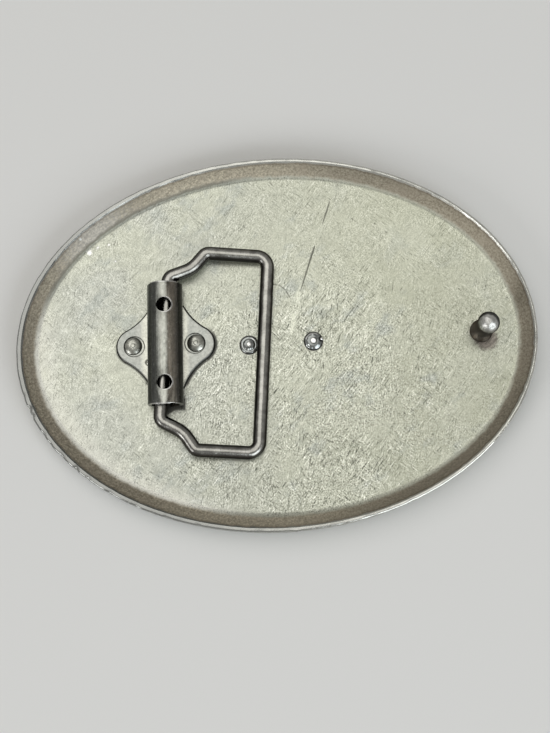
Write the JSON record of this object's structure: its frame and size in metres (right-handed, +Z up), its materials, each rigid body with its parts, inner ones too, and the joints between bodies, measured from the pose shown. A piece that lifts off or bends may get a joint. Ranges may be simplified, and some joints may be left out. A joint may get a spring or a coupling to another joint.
{
  "type": "belt buckle",
  "caption": "Oval western belt buckle seen from the back: a cast dish with a riveted hinge plate, a wire loop for the belt that swings over, and a ball-headed peg for the belt's hole.",
  "frame": {"origin": "middle of the oval, on the surface that the buckle's front rests on", "axes": "+X along the oval from the wire loop towards the peg; +Z up, out of the back of the buckle"},
  "size_m": [0.1106, 0.0804, 0.0132],
  "materials": {
    "shell_alloy": "tumbled zinc alloy with a warm grey patina, fine scratches and a bright worn lip",
    "plate_steel": "nickel-plated sheet steel, satin, with a darker curled tube",
    "rivet_steel": "polished steel domes, darkened round the rim",
    "pin_steel": "hammered steel ends, dull, with a bright middle",
    "peg_steel": "turned steel with a polished ball and a brown soldered foot",
    "wire_steel": "gunmetal grey drawn wire, glossy along its top"
  },
  "bodies": {
    "buckle": {"shell": "shell_alloy", "hinge_plate": "plate_steel", "ear_rivet_left": "rivet_steel", "ear_rivet_right": "rivet_steel", "pin_left": "pin_steel", "pin_right": "pin_steel", "peg": "peg_steel"},
    "loop": {"loop": "wire_steel"}
  },
  "joints": [
    {"name": "loop_swing", "type": "hinge", "parent": "buckle", "child": "loop", "pos_m": [-0.0239, -0.0002, 0.00628], "axis": [-0.1045, -0.9945, 0], "range_deg": [0, 185]}
  ]
}
